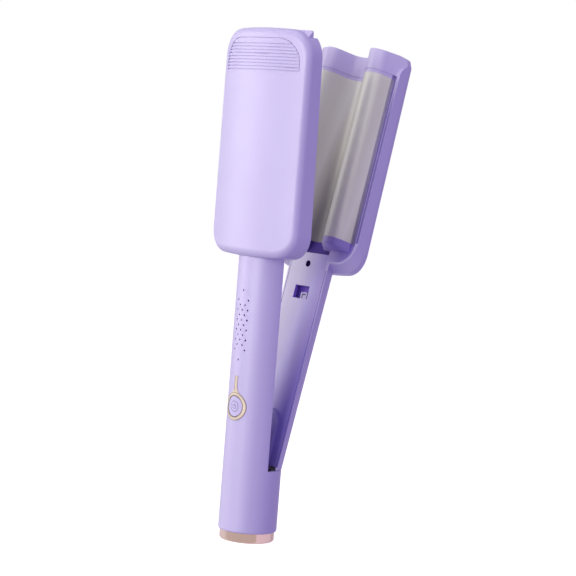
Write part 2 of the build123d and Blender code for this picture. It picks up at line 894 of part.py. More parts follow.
def rear_tray():
    """Tray with its wave-shaped upper end, still solid; its lower end swells toward the back."""
    rim = Pos(0, rear_rim, 0) * Rot(X=90) * tray_outline(0.0, -rear_rim_rise)
    back = Pos(0, rear_pillow_start, 0) * Rot(X=90) * tray_outline(0.0, rear_swell)
    tip = rear_flanks(tip_low) & head_block(tray_outline(0.0), -head_depth, rear_pillow_start)
    return (loft([rim, back]) + tip) & slab(0, head_high - tip_top_drop, -end_tilt, wave_peak)


def rear_arm_half():
    """Outside of the rear arm: half round, and deeper toward the head."""
    arm = column(handle_radius, 0, far).rotate(Axis((0, 0, tube_top), (1, 0, 0)), -rear_arm_taper)
    return arm & box(-far, far, rear_split, far, tube_top - kink_height / 4, head_low + head_wall)


def rest_cut():
    """Everything behind the flat strip down the rear head's back, on which the waver lies."""
    drop = head_crown_radius - sqrt(head_crown_radius ** 2 - rest_half_width ** 2)
    block = box(-far, far, head_depth - drop, far, -far, far)
    return block.rotate(Axis((0, head_depth, head_high), (1, 0, 0)), rear_taper)


def rear_shell():
    high = rear_top(rear_pillow_start)
    back = head_outline(
        head_half_width, head_low - rear_swell, high, head_low_corner, rear_tray_corner, rear_back_bow
    )
    body = rear_tray() + pillow(1, rear_pillow_start, back) + rear_arm_half()
    body -= half_arm(1, rear_split, handle_bore, 0, head_low + 2 * head_wall)
    body -= half_arm(1, rear_rim, handle_bore, head_low - head_wall, head_low + 2 * head_wall)
    cavity = head_block(tray_outline(head_wall), rear_rim, rear_pillow_start)
    body -= cavity & slab(0, tip_low, -end_tilt, wave_peak)
    body -= rear_tip_front()
    body -= head_cavity(1, rear_pillow_start, high, rear_tray_corner)
    body -= rest_cut()
    return body + shell_boss(1, rear_split, screw_height)


def screw(side, split, z):
    """Cover screw: its head down in the cup, its shank in the boss."""
    seat = side * (split + screw_seat)
    head = rod_y(screw_head_radius, seat - side * screw_head_height, seat, 0, z)
    return head + rod_y(screw_shank_radius, seat, seat + side * screw_length, 0, z)


def rear_window_keeper():
    """Step inside the window that the guide nose comes to rest beside."""
    low = window_low + keeper_clear
    right = window_half_width
    start = rear_split + cover_thickness
    high = low + keeper_height
    block = box(right - keeper_width, right + ledge, start, start + ledge, low - 2 * ledge, high)
    return fillet(block.edges().filter_by(Axis.Y), keeper_clear)


def heat_shield(y0, y1):
    """Thin bright sheet behind the plate, with a slot for the leads."""
    inside = front_plate_half
    sheet = box(-inside, inside, y0, y1, plate_low + ledge, plate_high - ledge)
    sheet = fillet(sheet.edges().filter_by(Axis.Y), rear_tray_corner)
    return sheet - rod_y(fuse_radius, -far / 4, far / 4, 0, plate_low + 2 * ledge + fuse_radius)


def beside_heater(radius):
    """How far from a heater's middle a small part on the same web lies."""
    return heater_width / 2 + heater_gap + radius


def front_screws():
    return screw(-1, front_split, front_screw_low) + screw(-1, front_split, screw_height)


def front_parts():
    web_low, web_high = front_web()
    middle = (plate_low + plate_high) / 2
    heater_back = web_low - heater_thickness
    shield = front_frame_back()
    yield "front_shell", front_shell()
    yield "front_tip", front_tip()
    yield "front_inner_cover", front_inner_cover()
    yield "front_guide_hook", front_hook()
    yield "front_wave_plate", front_wave_plate()
    yield "front_plate_frame", front_plate_frame()
    yield "front_heater", heater(0, heater_back, web_low)
    yield "front_heater_clip", heater_clip(0, heater_back, -1)
    yield "front_thermal_fuse", fuse(beside_heater(fuse_radius), web_low - fuse_radius, middle)
    yield "front_thermistor", bead(-beside_heater(bead_radius), web_low - bead_radius, middle)
    yield "front_heat_shield", heat_shield(shield - shield_thickness, shield)
    yield "front_cover_screws", front_screws()
    yield "power_button", power_button()
    yield "button_bezel", button_bezel()
    yield "control_board", control_board()
    yield "tact_switch", tact_switch()
    yield "power_triac", power_triac()
    yield "base_ring", base_ring()
    yield "cord_swivel", cord_swivel()
    yield "swivel_retainer", swivel_retainer()
    yield "hinge_bracket", hinge_bracket()
    yield "hinge_pin", hinge_pin()
    yield "hinge_spring", hinge_spring()


def rear_parts():
    web_low, web_high = rear_web()
    middle = (plate_low + plate_high) / 2
    heater_back = web_high + heater_thickness
    shield = rear_frame_back()
    yield "rear_inner_cover", rear_inner_cover()
    yield "rear_hinge_arm", rear_hinge_arm()
    yield "rear_window_keeper", rear_window_keeper()
    yield "rear_wave_plate", rear_wave_plate()
    yield "rear_plate_frame", rear_plate_frame()
    for side, x in (("left", -wave_pitch), ("right", wave_pitch)):
        yield "rear_heater_" + side, heater(x, web_high, heater_back)
        yield "rear_heater_clip_" + side, heater_clip(x, heater_back, 1)
    yield "rear_thermal_fuse", fuse(wave_pitch - beside_heater(fuse_radius), web_high + fuse_radius, middle)
    yield "rear_thermistor", bead(beside_heater(bead_radius) - wave_pitch, web_high + bead_radius, middle)
    yield "rear_heat_shield", heat_shield(shield, shield + shield_thickness)
    yield "rear_cover_screw", screw(1, rear_split, screw_height)


def save(name, shape):
    export_step(shape, "parts/" + name + ".step")


os.makedirs("parts", exist_ok=True)
for name, shape in front_parts():
    save(name, shape)
for name, shape in rear_parts():
    save(name, opened(shape))
swung_shell = opened(rear_shell()) - box(-far, far, -far, far, 0, tube_top + part_gap)
save("rear_shell", swung_shell)
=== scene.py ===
import math

import bpy
from mathutils import Matrix, Vector


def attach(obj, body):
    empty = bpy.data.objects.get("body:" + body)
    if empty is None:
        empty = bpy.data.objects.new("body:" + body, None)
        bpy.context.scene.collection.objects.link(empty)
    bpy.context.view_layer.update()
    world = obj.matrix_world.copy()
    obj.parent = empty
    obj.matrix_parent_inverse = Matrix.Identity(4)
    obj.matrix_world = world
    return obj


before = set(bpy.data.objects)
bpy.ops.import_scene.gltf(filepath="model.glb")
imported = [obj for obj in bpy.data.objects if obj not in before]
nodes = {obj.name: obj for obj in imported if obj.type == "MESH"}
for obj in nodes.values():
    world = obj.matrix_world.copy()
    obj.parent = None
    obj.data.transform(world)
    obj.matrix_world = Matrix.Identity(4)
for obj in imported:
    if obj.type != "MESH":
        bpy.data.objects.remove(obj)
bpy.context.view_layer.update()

MM = 0.001
WHITE = (1.0, 1.0, 1.0)

# ---- camera, fitted to the photograph: degrees, metres and pixels ----
CAMERA_AZIMUTH = 47.592
CAMERA_ELEVATION = 4.04
CAMERA_ROLL = 4.567
CAMERA_AIM = (0.0, 0.0, 0.150)
AIM_OFFSET = (-0.013706, 0.00493, 1.247653)  # of the aim from the camera: right, down, forward
CAMERA_REACH = 50.0
FOCAL_PIXELS = 2048.446
FRAME_PIXELS = 576
SENSOR_MM = 36.0

# ---- lights, surroundings and floor: metres and watts ----
SOFT_WHITE = (1.0, 0.99, 0.94)
LAMPS = (  # name, place, point aimed at, width and height, power, colour
    ("key_left", (-1.73, -1.35, 0.5), (0.0, 0.0, 0.17), (1.3, 1.4), 15.5, SOFT_WHITE),
    ("key_front", (0.19, -2.19, 0.5), (0.0, 0.0, 0.17), (1.4, 1.4), 28.0, SOFT_WHITE),
    ("top", (0.1, -0.8, 2.0), (0.0, 0.0, 0.2), (1.4, 1.4), 9.0, WHITE),
)
ROOM = (  # degrees from the part's front, 90 at its right, and the colour there
    (-180.0, (0.40, 0.34, 0.60)),
    (-120.0, (0.33, 0.31, 0.40)),
    (-30.0, (0.30, 0.29, 0.36)),
    (40.0, (0.27, 0.22, 0.50)),
    (90.0, (0.29, 0.23, 0.55)),
    (150.0, (0.40, 0.33, 0.60)),
    (180.0, (0.40, 0.34, 0.60)),
)
WALLS = (
    (-180.0, (0.50, 0.42, 0.52)),
    (-135.0, (0.75, 0.70, 0.78)),
    (-60.0, (0.80, 0.78, 0.84)),
    (-40.0, (0.60, 0.56, 0.56)),
    (88.0, (0.56, 0.50, 0.50)),
    (92.0, (0.80, 0.70, 0.84)),
    (165.0, (0.72, 0.62, 0.78)),
    (180.0, (0.50, 0.42, 0.52)),
)
FLOOR_HALF = 8.0
FLOOR_DRIFT = 1.5
FLOOR_TINTS = ((0.3, (0.92, 0.92, 0.925)), (0.7, (0.94, 0.94, 0.945)))
FLOOR_GLOW = 0.8
FLOOR_ROUGHNESS = 0.9

# ---- colours ----
LAVENDER = (0.61, 0.545, 0.80)
# painted shade: a deeper lavender for the hinge arm, standing in for the shade between the arms
HINGE_PAINTED_SHADE = (0.36, 0.30, 0.62)
LAVENDER_SEAM = (0.40, 0.33, 0.64)
# painted shade: dark indigo for the screw, the hole's lining and the slots at the window latch,
# standing in for the shade in them
SHADE_INDIGO = (0.07, 0.05, 0.17)
VIOLET = (0.08, 0.05, 0.26)
# painted shade: violet for the window's side and the sheet behind it, standing in for the shade
# inside the window
WINDOW_PAINTED_SHADE = (0.44, 0.28, 0.95)
# painted shade: dark violet for the sheet behind the recess, standing in for the shade inside it
RECESS_PAINTED_SHADE = (0.16, 0.10, 0.46)
# painted shade: deep violet for the shaded grooves and rims beside the rear plate
RAIL_SHADE_VIOLET = (0.20, 0.15, 0.46)
PLATE = (0.72, 0.725, 0.62)
ROSE_GOLD = (0.86, 0.66, 0.58)
PALE_GOLD = (0.66, 0.57, 0.44)
# painted shade for the rounded edges of the button's gold trim and the stem's left side
GOLD_PAINTED_SHADE = (0.26, 0.18, 0.17)
STEEL = (0.55, 0.55, 0.57)
CERAMIC = (0.72, 0.70, 0.64)
BOARD_GREEN = (0.03, 0.16, 0.05)
BLACK = (0.02, 0.02, 0.022)
GREY = (0.12, 0.11, 0.14)
SIGN_GREY = (0.14, 0.11, 0.32)

# ---- painted light and shade along the part: direction, span in metres, stops over the span ----
# painted light and shade on the rear arm's inner cover: palest at its upper left, deepest towards
# the hinge at its lower right
COVER_PAINTED_LIGHT_AND_SHADE = ((1.0, 0.0, -0.15), (-0.036, 0.004), (
    (0.15, (0.86, 0.80, 0.97)),
    (0.40, (0.76, 0.69, 0.95)),
    (0.53, (0.68, 0.61, 0.93)),
    (0.675, (0.54, 0.44, 0.77)),
    (0.875, (0.29, 0.22, 0.60)),
))
# painted light and shade on the rear wave plate: lighter high up, darker in its valleys towards the
# bottom
REAR_PLATE_PAINTED_LIGHT_AND_SHADE = ((0.0, 0.9519, -0.3224), (-0.0362, -0.0212), (
    (0.0, (0.73, 0.735, 0.64)),
    (0.4, (0.81, 0.81, 0.73)),
    (0.67, (0.61, 0.60, 0.52)),
    (0.9, (0.33, 0.32, 0.30)),
))
# painted shade on the rear tray's rims: deep violet low down, lightening to lavender at the top
RIM_PAINTED_SHADE = ((0.0, 0.0, 1.0), (0.180, 0.300), (
    (0.0, RAIL_SHADE_VIOLET),
    (0.7, (0.26, 0.21, 0.52)),
    (0.95, LAVENDER),
))
# painted shade on the rear plate frame's side rails, deep violet beyond 33.3 mm to either side
RAIL_PAINTED_SHADE = ((1.0, 0.0, 0.0), (0.0331, 0.0335), ((0.0, LAVENDER), (1.0, RAIL_SHADE_VIOLET)))

# ---- finishes: scales in cycles per metre, depths in metres ----
MOULD_ROUGHNESS = 0.42
ROUGHNESS_DRIFT = 0.05
GLOSS_SCALE = 60.0
GRAIN_SCALE = 2600.0
GRAIN_STRENGTH = 0.10
GRAIN_DEPTH = 0.00006
PLASTIC_DRIFT = 14.0
PLATE_DRIFT = 40.0
PLATE_CLOUDS = (40.0, 40.0, 5.0)
PLATE_STREAKS = (260.0, 260.0, 3.0)
PLATE_ROUGHNESS = (0.42, 0.52)
PLATE_METALLIC = 0.3
STREAK_STRENGTH = 0.05
STREAK_DEPTH = 0.00005
METAL_DRIFT = 90.0
METAL_WEAR = 0.03
SMUDGE_SCALE = 220.0
GOLD_ROUGHNESS = (0.42, 0.5)
GOLD_METALLIC = 0.4

# ---- button, bezel and sign: metres and degrees ----
HANDLE_RADIUS = 18.0 * MM
BUTTON_PROUD = 0.3 * MM
BUTTON_HEIGHT = 82.8 * MM
BEZEL_INNER = 6.4 * MM
BEZEL_OUTER = 8.6 * MM
BEZEL_FADE = 0.8 * MM
# painted shade: the trim is darker in thin bands at its inner and outer edges
BEZEL_TINTS = (  # from its inner edge out to its fade
    (0.0, GOLD_PAINTED_SHADE),
    (0.06, GOLD_PAINTED_SHADE),
    (0.18, PALE_GOLD),
    (0.57, PALE_GOLD),
    (0.70, GOLD_PAINTED_SHADE),
    (0.78, PALE_GOLD),
)
SIGN_RADIUS = 3.35 * MM
SIGN_LINE = 0.42 * MM
SIGN_DEPTH = 0.14 * MM
CIRCLE_STEPS = 72
RING_RADIUS = SIGN_RADIUS * 0.45
RING_OPENING = 32
RING_STEPS = 48
BAR_HEIGHTS = (0.2, 0.7, 1.2)  # in ring radii
STEM_EDGE = -0.95 * MM
STEM_HEIGHTS = (9.4 * MM, 13.9 * MM, 18.4 * MM)
STEM_SHADE_WIDTH = 0.42 * MM
STEM_SHADE_PROUD = 0.17 * MM

# ---- rear arm as it is when closed: millimetres and degrees ----
PIN_Y = 4.5
PIN_Z = 39.5
OPEN_ANGLE = 13.0
ARM_SHIFT = 1.234
WAVE_PITCH = 21.5
WAVE_RADIUS = 10.5
WAVE_PEAK = -5.3
WAVE_DIP = 9.2
WAVE_LEAN = 52.4
WAVE_REACH = 33.1
WAVE_STEPS = 12
END_TILT = 9.6
SEAM_SINK = 0.22
SEAM_DEPTH = 1.1
TIP_SEAM = (297.48, 297.92)
HEEL_SEAM = (190.58, 191.02)
HEEL_INNER = 15.7
WELL_HEIGHT = 173.7
WELL_RADIUS = 2.03
WELL_DEPTHS = (4.25, 7.5)
WELL_SIDES = 32

# ---- plates on the closed rear arm: outlines (x, z) or x and z limits, and front and back y ----
LATCH = ((0.0, 151.5), (5.6, 151.5), (5.6, 155.3), (5.2, 155.7), (0.4, 155.7), (0.0, 155.3))
LATCH_DEPTHS = (4.4, 6.7)
NOTCH = ((1.3, 151.8), (2.05, 151.8), (2.05, 153.9), (4.4, 153.9), (4.4, 154.6), (1.3, 154.6))
NOTCH_DEPTHS = (4.37, 4.6)
LATCH_GAP = (5.6, 6.4, 151.5, 156.6)
LATCH_GAP_DEPTHS = (4.42, 6.5)
WINDOW_SIDE = (-6.42, -6.3, 151.5, 159.7)
WINDOW_SIDE_DEPTHS = (4.42, 6.7)
WINDOW_LINER = (-8.2, 8.2, 150.6, 161.0)
WINDOW_LINER_DEPTHS = (8.75, 8.95)
RECESS_LINER = (-20.0, 20.0, 178.2, 192.0)
RECESS_LINER_DEPTHS = (9.5, 9.7)
COVER_RIM = ((15.38, 47.2), (17.25, 47.2), (17.6, 171.0), (15.38, 171.0))
COVER_RIM_DEPTHS = (4.96, 5.1)
COVER_SEAM = ((16.0, 47.2), (16.3, 47.2), (16.3, 171.0), (16.0, 171.0))
COVER_SEAM_DEPTHS = (4.93, 5.0)
TRAY_RIM = ((36.0, 190.0), (37.85, 190.0), (37.85, 294.0), (36.0, 294.0))
TRAY_RIM_DEPTHS = (4.97, 5.1)


# ---- camera ----
def view_axes(azimuth, elevation, roll):
    """Rows: to the right, down, and forward, for a camera that looks at the origin."""
    a = math.radians(azimuth)
    e = math.radians(elevation)
    back = Vector((math.sin(a) * math.cos(e), -math.cos(a) * math.cos(e), math.sin(e)))
    right = Vector((math.cos(a), math.sin(a), 0.0))
    up = right.cross(-back)
    turn = Matrix.Rotation(math.radians(roll), 3, "Z")
    return turn @ Matrix((right, -up, -back))


def add_camera():
    axes = view_axes(CAMERA_AZIMUTH, CAMERA_ELEVATION, CAMERA_ROLL)
    place = Vector(CAMERA_AIM) - axes.transposed() @ Vector(AIM_OFFSET)
    data = bpy.data.cameras.new("camera")
    data.sensor_width = SENSOR_MM
    data.lens = FOCAL_PIXELS * SENSOR_MM / FRAME_PIXELS
    data.clip_end = CAMERA_REACH
    camera = bpy.data.objects.new("camera", data)
    bpy.context.scene.collection.objects.link(camera)
    turned = Matrix((axes[0], -axes[1], -axes[2])).transposed().to_4x4()
    camera.matrix_world = Matrix.Translation(place) @ turned
    bpy.context.scene.camera = camera


# ---- node building ----
def start(name):
    mat = bpy.data.materials.new(name)
    mat.use_nodes = True
    return mat, mat.node_tree, mat.node_tree.nodes["Principled BSDF"]


def coords(tree, scale=(1.0, 1.0, 1.0)):
    """Place on the part at rest, in metres, times a scale for each direction."""
    source = tree.nodes.new("ShaderNodeTexCoord")
    mapping = tree.nodes.new("ShaderNodeMapping")
    mapping.inputs["Scale"].default_value = scale
    tree.links.new(source.outputs["Object"], mapping.inputs["Vector"])
    return mapping.outputs["Vector"]


def vector_math(tree, operation, *operands):
    """Outputs of a calculation on sockets and plain vectors."""
    node = tree.nodes.new("ShaderNodeVectorMath")
    node.operation = operation
    for operand, socket in zip(operands, node.inputs):
        if isinstance(operand, tuple):
            socket.default_value = operand
        else:
            tree.links.new(operand, socket)
    return node.outputs


def remap(tree, value, source=(0.0, 1.0), target=(0.0, 1.0)):
    """The value moved from one range to another and kept inside it."""
    node = tree.nodes.new("ShaderNodeMapRange")
    limits = ("From Min", "From Max", "To Min", "To Max")
    for limit, number in zip(limits, (*source, *target)):
        node.inputs[limit].default_value = number
    tree.links.new(value, node.inputs["Value"])
    return node.outputs["Result"]


def noise(tree, vector, scale, detail):
    node = tree.nodes.new("ShaderNodeTexNoise")
    node.inputs["Scale"].default_value = scale
    node.inputs["Detail"].default_value = detail
    node.inputs["Roughness"].default_value = 0.5
    tree.links.new(vector, node.inputs["Vector"])
    return node.outputs["Fac"]


def ramp(tree, value, stops):
    node = tree.nodes.new("ShaderNodeValToRGB")
    elements = node.color_ramp.elements
    while len(elements) < len(stops):
        elements.new(0.5)
    for element, (place, colour) in zip(elements, stops):
        element.position = place
        element.color = (*colour, 1)
    tree.links.new(value, node.inputs["Fac"])
    return node.outputs["Color"]


def bump(tree, shader, height, strength, distance):
    node = tree.nodes.new("ShaderNodeBump")
    node.inputs["Strength"].default_value = strength
    node.inputs["Distance"].default_value = distance
    tree.links.new(height, node.inputs["Height"])
    tree.links.new(node.outputs["Normal"], shader.inputs["Normal"])


def scaled(colour, factor):
    return tuple(min(1.0, c * factor) for c in colour)


# ---- light and floor ----
def area_light(name, place, aim, size, power, colour):
    data = bpy.data.lights.new(name, "AREA")
    data.shape = "RECTANGLE"
    data.size, data.size_y = size
    data.energy = power
    data.color = colour
    lamp = bpy.data.objects.new(name, data)
    bpy.context.scene.collection.objects.link(lamp)
    lamp.location = place
    lamp.rotation_euler = (Vector(aim) - Vector(place)).to_track_quat("-Z", "Y").to_euler()


def background(tree, colour):
    node = tree.nodes.new("ShaderNodeBackground")
    node.inputs["Color"].default_value = (*colour, 1)
    node.inputs["Strength"].default_value = 1.0
    return node


def compass(tree):
    """0 to 1 round the compass: 0 at the back, 0.25 on the left, 0.5 in front."""
    direction = tree.nodes.new("ShaderNodeTexCoord")
    split = tree.nodes.new("ShaderNodeSeparateXYZ")
    tree.links.new(direction.outputs["Generated"], split.inputs[0])
    flip = tree.nodes.new("ShaderNodeMath")
    flip.operation = "MULTIPLY"
    flip.inputs[1].default_value = -1.0
    tree.links.new(split.outputs["Y"], flip.inputs[0])
    turn = tree.nodes.new("ShaderNodeMath")
    turn.operation = "ARCTAN2"
    tree.links.new(split.outputs["X"], turn.inputs[0])
    tree.links.new(flip.outputs[0], turn.inputs[1])
    return remap(tree, turn.outputs[0], (-math.pi, math.pi))


def surroundings(tree, share, colours):
    """Background whose colour goes with the compass direction."""
    stops = [((azimuth + 180.0) / 360.0, colour) for azimuth, colour in colours]
    around = background(tree, WHITE)
    tree.links.new(ramp(tree, share, stops), around.inputs["Color"])
    return around.outputs[0]


def world_light():
    """White backdrop for the camera, studio walls for gloss, tinted room light for the rest."""
    world = bpy.data.worlds.new("studio")
    world.use_nodes = True
    tree = world.node_tree
    tree.nodes.clear()
    out = tree.nodes.new("ShaderNodeOutputWorld")
    path = tree.nodes.new("ShaderNodeLightPath")
    share = compass(tree)
    lit = tree.nodes.new("ShaderNodeMixShader")
    tree.links.new(path.outputs["Is Glossy Ray"], lit.inputs[0])
    tree.links.new(surroundings(tree, share, ROOM), lit.inputs[1])
    tree.links.new(surroundings(tree, share, WALLS), lit.inputs[2])
    seen = tree.nodes.new("ShaderNodeMixShader")
    tree.links.new(path.outputs["Is Camera Ray"], seen.inputs[0])
    tree.links.new(lit.outputs[0], seen.inputs[1])
    tree.links.new(background(tree, WHITE).outputs[0], seen.inputs[2])
    tree.links.new(seen.outputs[0], out.inputs["Surface"])
    bpy.context.scene.world = world


def new_mesh(name, points, faces, material, smooth=True):
    mesh = bpy.data.meshes.new(name)
    mesh.from_pydata(points, [], faces)
    mesh.update()
    obj = bpy.data.objects.new(name, mesh)
    bpy.context.scene.collection.objects.link(obj)
    mesh.materials.append(material)
    for poly in mesh.polygons:
        poly.use_smooth = smooth
    return obj


def rectangle(x0, x1, z0, z1):
    return [(x0, z0), (x1, z0), (x1, z1), (x0, z1)]


def floor_material():
    mat, tree, shader = start("floor_pale")
    tint = ramp(tree, noise(tree, coords(tree), FLOOR_DRIFT, 2.0), FLOOR_TINTS)
    tree.links.new(tint, shader.inputs["Base Color"])
    tree.links.new(tint, shader.inputs["Emission Color"])
    shader.inputs["Emission Strength"].default_value = FLOOR_GLOW
    shader.inputs["Roughness"].default_value = FLOOR_ROUGHNESS
    shader.inputs["Specular IOR Level"].default_value = 0.0
    return mat


def add_floor():
    """Pale floor that only the camera sees, so that it throws no light back at the part."""
    outline = rectangle(-FLOOR_HALF, FLOOR_HALF, -FLOOR_HALF, FLOOR_HALF)
    points = [(x, y, 0) for x, y in outline]
    floor = new_mesh("floor", points, [(0, 1, 2, 3)], floor_material())
    floor.visible_diffuse = False
    floor.visible_glossy = False


# ---- materials ----
def drifting(tree, colour, scale, low, high):
    """The colour, drifting over the surface from low to high times its value."""
    drift = noise(tree, coords(tree), scale, 3.0)
    return ramp(tree, drift, [(0.3, scaled(colour, low)), (0.7, scaled(colour, high))])


def toned(tree, place, tone, scale):
    """Painted light and shade: colour that changes along one direction of the part, with a faint
    drift over it.
    """
    direction, span, tints = tone
    reach = vector_math(tree, "DOT_PRODUCT", place, direction)["Value"]
    colour = ramp(tree, remap(tree, reach, span), tints)
    drift = drifting(tree, WHITE, scale, 0.97, 1.0)
    return vector_math(tree, "MULTIPLY", colour, drift)["Vector"]


def mould_finish(tree, shader, roughness=MOULD_ROUGHNESS, shine=1.0):
    """Fine spark-eroded grain and uneven gloss."""
    gloss = noise(tree, coords(tree), GLOSS_SCALE, 4.0)
    limits = (roughness - ROUGHNESS_DRIFT, roughness + ROUGHNESS_DRIFT)
    tree.links.new(remap(tree, gloss, target=limits), shader.inputs["Roughness"])
    grain = noise(tree, coords(tree), GRAIN_SCALE, 2.0)
    bump(tree, shader, grain, GRAIN_STRENGTH, GRAIN_DEPTH)
    shader.inputs["Specular IOR Level"].default_value = shine


def moulded_plastic(name, colour, **finish):
    """Satin moulded plastic with a faint colour drift."""
    mat, tree, shader = start(name)
    tint = drifting(tree, colour, PLASTIC_DRIFT, 0.97, 1.03)
    tree.links.new(tint, shader.inputs["Base Color"])
    mould_finish(tree, shader, **finish)
    return mat


def toned_plastic(name, tone, both_sides=False):
    """Satin moulded plastic with painted light and shade along the part, or the same way to both
    sides.
    """
    mat, tree, shader = start(name)
    place = coords(tree)
    if both_sides:
        place = vector_math(tree, "ABSOLUTE", place)["Vector"]
    tree.links.new(toned(tree, place, tone, PLASTIC_DRIFT), shader.inputs["Base Color"])
    mould_finish(tree, shader)
    return mat


def satin_plate(name, tone=None):
    """Coated wave plate: satin, with faint streaks along its length, and either a tone of painted
    light and shade or faint clouds.
    """
    mat, tree, shader = start(name)
    if tone:
        tint = toned(tree, coords(tree), tone, PLATE_DRIFT)
    else:
        clouds = noise(tree, coords(tree, PLATE_CLOUDS), 1.0, 2.0)
        tint = ramp(tree, clouds, [(0.35, scaled(PLATE, 0.96)), (0.65, scaled(PLATE, 1.04))])
    tree.links.new(tint, shader.inputs["Base Color"])
    streaks = noise(tree, coords(tree, PLATE_STREAKS), 1.0, 4.0)
    tree.links.new(remap(tree, streaks, target=PLATE_ROUGHNESS), shader.inputs["Roughness"])
    bump(tree, shader, streaks, STREAK_STRENGTH, STREAK_DEPTH)
    shader.inputs["Metallic"].default_value = PLATE_METALLIC
    return mat


def smudged(tree, shader, limits):
    smudge = noise(tree, coords(tree), SMUDGE_SCALE, 4.0)
    tree.links.new(remap(tree, smudge, target=limits), shader.inputs["Roughness"])


def plated_metal(name, colour, roughness):
    mat, tree, shader = start(name)
    tint = drifting(tree, colour, METAL_DRIFT, 0.97, 1.02)
    tree.links.new(tint, shader.inputs["Base Color"])
    smudged(tree, shader, (roughness, roughness + METAL_WEAR))
    shader.inputs["Metallic"].default_value = 1.0
    return mat


def satin_gold(name):
    """Pale gold trim round the button, with painted shade in thin bands at its edges."""
    mat, tree, shader = start(name)
    flat = coords(tree, (1.0, 0.0, 1.0))
    away = vector_math(tree, "DISTANCE", flat, (0.0, 0.0, BUTTON_HEIGHT))["Value"]
    band = remap(tree, away, (BEZEL_INNER, BEZEL_OUTER + BEZEL_FADE))
    tree.links.new(ramp(tree, band, BEZEL_TINTS), shader.inputs["Base Color"])
    smudged(tree, shader, GOLD_ROUGHNESS)
    shader.inputs["Metallic"].default_value = GOLD_METALLIC
    return mat


def dress(material, *names):
    """Gives CAD nodes a material."""
    for name in names:
        obj = nodes[name]
        obj.data.materials.clear()
        obj.data.materials.append(material)


# ---- button sign ----
def on_button(x, z, raise_by):
    """A point on the button's face, which is curved with the handle."""
    radius = HANDLE_RADIUS + BUTTON_PROUD + raise_by
    return (x, -math.sqrt(radius ** 2 - x ** 2), BUTTON_HEIGHT + z)


def strip(name, line, width, material, raise_by=-SIGN_DEPTH, body="button"):
    """Flat inlay along a line of points (x, z) from the middle of the button."""
    points = []
    for i, (x, z) in enumerate(line):
        before = line[max(i - 1, 0)]
        after = line[min(i + 1, len(line) - 1)]
        heading = Vector((after[0] - before[0], after[1] - before[1])).normalized()
        side = Vector((-heading.y, heading.x)) * width / 2
        points.append(on_button(x + side.x, z + side.y, raise_by))
        points.append(on_button(x - side.x, z - side.y, raise_by))
    faces = [(2 * i, 2 * i + 1, 2 * i + 3, 2 * i + 2) for i in range(len(line) - 1)]
    obj = new_mesh(name, points, faces, material)
    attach(obj, body)
    return obj


def arc(radius, start_deg, end_deg, steps):
    """Points (x, z) on an arc; angles run clockwise from the top."""
    turn = end_deg - start_deg
    angles = [math.radians(start_deg + turn * i / steps) for i in range(steps + 1)]
    return [(radius * math.sin(a), radius * math.cos(a)) for a in angles]


# ---- details of the rear arm ----
def opened(x, y, z):
    """A point of the closed rear arm, in mm, where it is with the arms open, in metres."""
    a = math.radians(OPEN_ANGLE)
    dy = y - ARM_SHIFT - PIN_Y
    dz = z - PIN_Z
    turned_y = PIN_Y + dy * math.cos(a) + dz * math.sin(a)
    turned_z = PIN_Z - dy * math.sin(a) + dz * math.cos(a)
    return (x * MM, turned_y * MM, turned_z * MM)


def arm_piece(name, points, faces, material, smooth=False):
    obj = new_mesh(name, points, faces, material, smooth)
    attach(obj, "rear_arm")


def arm_plate(name, outline, depths, material):
    """Plate between two depths; its outline of points (x, z) runs anticlockwise."""
    count = len(outline)
    points = [opened(x, y, z) for y in depths for x, z in outline]
    sides = [(i, i + count, (i + 1) % count + count, (i + 1) % count) for i in range(count)]
    faces = [tuple(range(count)), tuple(range(2 * count - 1, count - 1, -1))] + sides
    arm_piece(name, points, faces, material)


def arm_tube(name, height, radius, depths, material):
    """Open lining of a round hole."""
    count = WELL_SIDES
    angles = [2 * math.pi * i / count for i in range(count)]
    points = [
        opened(radius * math.cos(a), y, height + radius * math.sin(a))
        for y in depths for a in angles
    ]
    faces = [(i, (i + 1) % count, (i + 1) % count + count, i + count) for i in range(count)]
    arm_piece(name, points, faces, material, smooth=True)


def wave_line(offset):
    """Points (x, y) across the rear arm's wave, moved back by offset from its surface."""
    lean = math.radians(WAVE_LEAN)
    valley = WAVE_RADIUS + offset
    ridge = WAVE_RADIUS - offset
    turns = [lean * i / WAVE_STEPS for i in range(WAVE_STEPS + 1)]
    half = [(valley * math.sin(t), WAVE_DIP - WAVE_RADIUS + valley * math.cos(t)) for t in turns]
    for t in [-t for t in reversed(turns)] + turns[1:]:
        x = WAVE_PITCH + ridge * math.sin(t)
        half.append((x, WAVE_PEAK + WAVE_RADIUS - ridge * math.cos(t)))
    x, y = half[-1]
    half.append((WAVE_REACH, y + (WAVE_REACH - x) * math.tan(lean)))
    return [(-x, y) for x, y in reversed(half[1:])] + half


def wave_seam(name, heights, material, beyond=0.0, side=0):
    """Plastic seen in the bottom of a seam across the wave, between two heights at its ridges."""
    tilt = math.tan(math.radians(END_TILT))
    rows = [
        row for row in zip(wave_line(SEAM_SINK), wave_line(SEAM_DEPTH))
        if abs(row[0][0]) >= beyond and row[0][0] * side >= 0
    ]
    points = [
        opened(x, y, height - (y - WAVE_PEAK) * tilt)
        for row in rows for height in heights for x, y in row
    ]
    faces = [(0, 1, 3, 2)]
    for k in range(0, 4 * (len(rows) - 1), 4):
        faces += [(k, k + 2, k + 6, k + 4), (k + 1, k + 5, k + 7, k + 3)]
        faces += [(k, k + 4, k + 5, k + 1), (k + 2, k + 3, k + 7, k + 6)]
    k = 4 * (len(rows) - 1)
    faces.append((k, k + 2, k + 3, k + 1))
    arm_piece(name, points, faces, material)


def on_side(outline, sign_x):
    """The outline on one side of the arm, still anticlockwise."""
    return [(x * sign_x, z) for x, z in outline][::sign_x]


